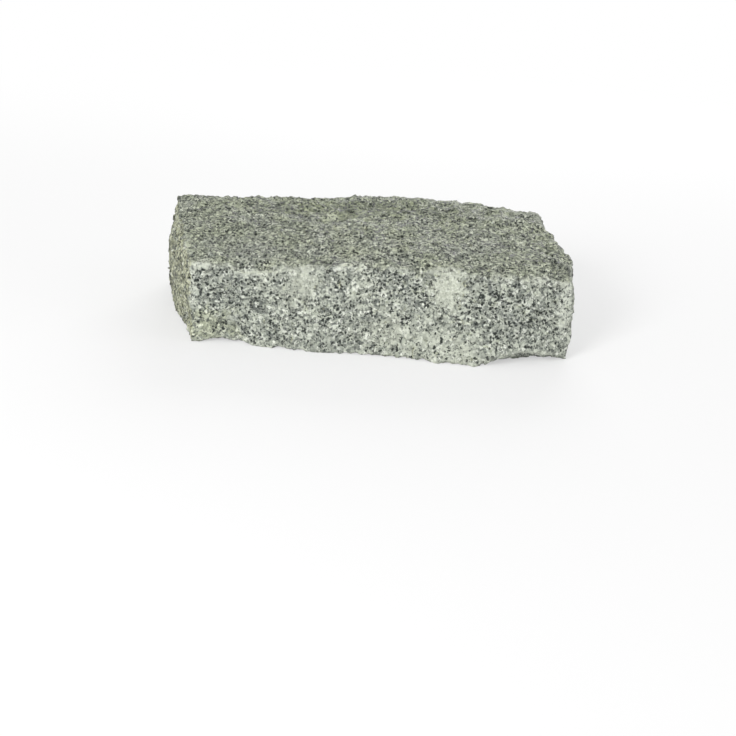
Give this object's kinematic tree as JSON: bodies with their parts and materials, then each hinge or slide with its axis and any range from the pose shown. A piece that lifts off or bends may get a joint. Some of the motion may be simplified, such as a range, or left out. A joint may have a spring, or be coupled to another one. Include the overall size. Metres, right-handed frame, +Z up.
{
  "type": "granite palisade block",
  "caption": "Hand-split granite block for edging, steps and low walls, with rolling split faces, wedge marks along one brow and a level bed.",
  "frame": {"origin": "middle of the bounding box, on the bed, the level underside that the block lies on", "axes": "+X along the block's length, towards the end that tapers; +Y towards the back, away from the brow with the wedge marks; +Z up"},
  "size_m": [0.4416, 0.2438, 0.1081],
  "materials": {
    "granite": "split, rough"
  },
  "bodies": {
    "root": {"granite_palisade": "granite"}
  },
  "joints": []
}
